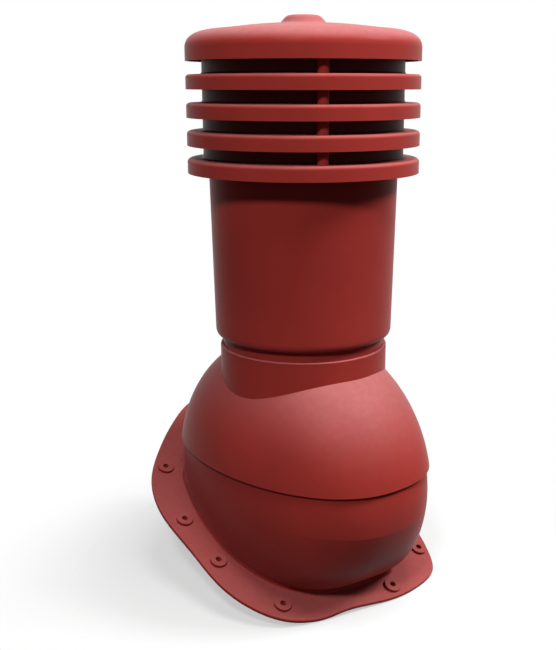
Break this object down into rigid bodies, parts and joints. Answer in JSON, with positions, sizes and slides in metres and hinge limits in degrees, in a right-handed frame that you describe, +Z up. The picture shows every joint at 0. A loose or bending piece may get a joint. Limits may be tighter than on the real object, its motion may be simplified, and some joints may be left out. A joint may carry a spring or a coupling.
{
  "type": "roof ventilation chimney",
  "caption": "Insulated roof ventilation chimney: louvred round head and casing on a dome that tilts on a screwed, wave-fitted roof flange.",
  "frame": {"origin": "centre of the duct's open lower end", "axes": "+Z up the duct, X along the tilt axis of the dome, -Y down the slope of the roof"},
  "size_m": [0.2645, 0.3498, 0.5854],
  "materials": {
    "cap": "satin brick red",
    "ring": "satin brick red",
    "base": "satin brick red",
    "casing": "satin brick red",
    "foam": "rigid insulation foam",
    "duct": "satin grey",
    "neck": "satin brick red",
    "dome": "satin brick red",
    "flange": "satin brick red"
  },
  "bodies": {
    "flange": {"roof_flange": "flange"},
    "hood": {"upper_dome": "dome", "neck_sleeve": "neck", "casing_tube": "casing", "insulation_sleeve": "foam", "duct_pipe": "duct", "head_base": "base", "louvre_ring_1": "ring", "louvre_ring_2": "ring", "louvre_ring_3": "ring", "louvre_ring_4": "ring", "cap": "cap"}
  },
  "joints": [
    {"name": "pitch_tilt", "type": "hinge", "parent": "flange", "child": "hood", "pos_m": [0, 0.0048, 0.06], "axis": [1, 0, 0], "range_deg": [-6, 15]}
  ]
}
